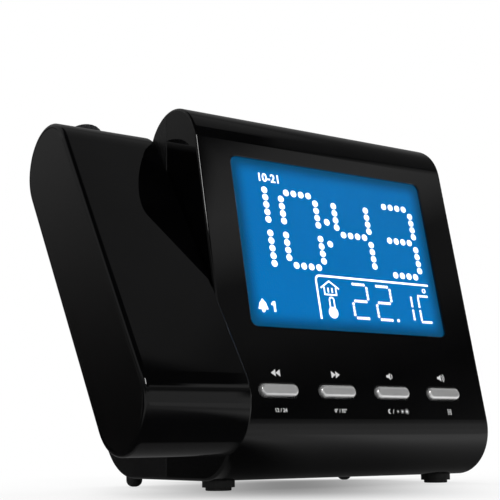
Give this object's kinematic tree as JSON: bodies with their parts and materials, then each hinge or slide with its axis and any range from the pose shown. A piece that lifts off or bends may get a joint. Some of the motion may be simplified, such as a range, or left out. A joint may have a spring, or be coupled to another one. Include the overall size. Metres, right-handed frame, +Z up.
{
  "type": "projection alarm clock",
  "caption": "Desk alarm clock: leaning lit display face with a row of keys and a swinging side arm that projects the time.",
  "frame": {"origin": "on the table, under the middle of the whole clock's bounding box", "axes": "+X to the right as seen from the display side, +Y to the back, +Z up"},
  "size_m": [0.1544, 0.1026, 0.1348],
  "materials": {
    "black_gloss": "deep piano-black high gloss moulding",
    "cap_satin": "dark grey-black satin moulding",
    "key_chrome": "bright chrome plating on plastic",
    "top_key_black": "fine satin black moulding",
    "pane_clear": "clear polished acrylic",
    "lcd_blue": "lit blue display glass with white segments",
    "backlight_white": "opal white light guide",
    "inner_plastic": "black inner moulding",
    "board_green": "solder-masked circuit board",
    "chip_black": "moulded electronic parts",
    "switch_black": "tact switch bodies",
    "speaker_steel": "black pressed steel",
    "cone_paper": "black paper cone",
    "magnet_grey": "ferrite magnet",
    "rubber_black": "matt black rubber",
    "screw_steel": "zinc-plated steel",
    "bush_white": "natural acetal",
    "contact_nickel": "nickel-plated spring strip",
    "cell_steel": "bright steel coin cell",
    "lens_glass": "clear lens",
    "slide_dark": "small dark display glass",
    "lamp_red": "red lamp lens",
    "sink_aluminium": "bare extruded aluminium"
  },
  "bodies": {
    "clock_body": {"front_shell": "black_gloss", "rear_shell": "black_gloss", "shell_screws": "screw_steel", "lcd_window": "pane_clear", "lcd_panel": "lcd_blue", "backlight_plate": "backlight_white", "lcd_tray": "inner_plastic", "tray_screws": "screw_steel", "main_board": "board_green", "board_parts": "chip_black", "key_board": "board_green", "key_switches": "switch_black", "key_board_screws": "screw_steel", "crown_board": "board_green", "crown_switches": "switch_black", "crown_board_screws": "screw_steel", "speaker_frame": "speaker_steel", "speaker_cone": "cone_paper", "speaker_magnet": "magnet_grey", "dc_jack": "inner_plastic", "backup_cell": "cell_steel", "cell_contacts": "contact_nickel", "front_feet": "rubber_black", "rear_feet": "rubber_black", "hinge_bush": "bush_white"},
    "arm": {"arm_shell": "black_gloss", "arm_end_cap": "cap_satin", "arm_screws": "screw_steel", "hinge_spindle": "inner_plastic", "spindle_screws": "screw_steel", "friction_washer": "screw_steel", "hinge_retainer": "screw_steel", "lens_barrel": "inner_plastic", "optic_housing": "inner_plastic", "time_slide": "slide_dark", "lens_spacer": "inner_plastic", "condenser_lens": "lens_glass", "projector_board": "board_green", "projector_lamp": "lamp_red", "heat_sink": "sink_aluminium"},
    "focus_ring": {"focus_ring": "inner_plastic"},
    "objective": {"objective_cell": "inner_plastic", "objective_lens": "lens_glass"},
    "battery_door": {"battery_door": "black_gloss"},
    "seek_back_key": {"seek_back_key": "key_chrome"},
    "seek_forward_key": {"seek_forward_key": "key_chrome"},
    "volume_down_key": {"volume_down_key": "key_chrome"},
    "volume_up_key": {"volume_up_key": "key_chrome"},
    "time_key": {"time_key": "top_key_black"},
    "alarm_one_key": {"alarm_one_key": "top_key_black"},
    "snooze_bar": {"snooze_bar": "top_key_black"},
    "alarm_two_key": {"alarm_two_key": "top_key_black"},
    "radio_key": {"radio_key": "top_key_black"}
  },
  "joints": [
    {"name": "arm_swing", "type": "hinge", "parent": "clock_body", "child": "arm", "pos_m": [-0.03895, -0.00702, 0.0701], "axis": [1, 0, 0], "range_deg": [-56.6, 123.3]},
    {"name": "focus_turn", "type": "hinge", "parent": "arm", "child": "focus_ring", "pos_m": [-0.0583, 0.02981, 0.12607], "axis": [0, 0.5498, 0.8353], "range_deg": [0, 120]},
    {"name": "focus_slide", "type": "slide", "parent": "arm", "child": "objective", "axis": [0, 0.5498, 0.8353], "range_m": [0, 0.0018]},
    {"name": "battery_door_slide", "type": "slide", "parent": "clock_body", "child": "battery_door", "axis": [0, 1, 0], "range_m": [0, 0.026]},
    {"name": "seek_back_key_press", "type": "slide", "parent": "clock_body", "child": "seek_back_key", "axis": [0, 0.9793, -0.2023], "range_m": [0, 0.0006], "stiffness_N_per_m": 200, "springref_m": -0.0005},
    {"name": "seek_forward_key_press", "type": "slide", "parent": "clock_body", "child": "seek_forward_key", "axis": [0, 0.9793, -0.2023], "range_m": [0, 0.0006], "stiffness_N_per_m": 200, "springref_m": -0.0005},
    {"name": "volume_down_key_press", "type": "slide", "parent": "clock_body", "child": "volume_down_key", "axis": [0, 0.9793, -0.2023], "range_m": [0, 0.0006], "stiffness_N_per_m": 200, "springref_m": -0.0005},
    {"name": "volume_up_key_press", "type": "slide", "parent": "clock_body", "child": "volume_up_key", "axis": [0, 0.9793, -0.2023], "range_m": [0, 0.0006], "stiffness_N_per_m": 200, "springref_m": -0.0005},
    {"name": "time_key_press", "type": "slide", "parent": "clock_body", "child": "time_key", "axis": [0, -0.6157, -0.788], "range_m": [0, 0.0006], "stiffness_N_per_m": 200, "springref_m": -0.0005},
    {"name": "alarm_one_key_press", "type": "slide", "parent": "clock_body", "child": "alarm_one_key", "axis": [0, -0.6157, -0.788], "range_m": [0, 0.0006], "stiffness_N_per_m": 200, "springref_m": -0.0005},
    {"name": "snooze_bar_press", "type": "slide", "parent": "clock_body", "child": "snooze_bar", "axis": [0, -0.6157, -0.788], "range_m": [0, 0.0006], "stiffness_N_per_m": 200, "springref_m": -0.0005},
    {"name": "alarm_two_key_press", "type": "slide", "parent": "clock_body", "child": "alarm_two_key", "axis": [0, -0.6157, -0.788], "range_m": [0, 0.0006], "stiffness_N_per_m": 200, "springref_m": -0.0005},
    {"name": "radio_key_press", "type": "slide", "parent": "clock_body", "child": "radio_key", "axis": [0, -0.6157, -0.788], "range_m": [0, 0.0006], "stiffness_N_per_m": 200, "springref_m": -0.0005}
  ],
  "couplings": [
    {"joint": "focus_turn", "follows": "focus_slide", "rad_per_m": 1163.5}
  ]
}
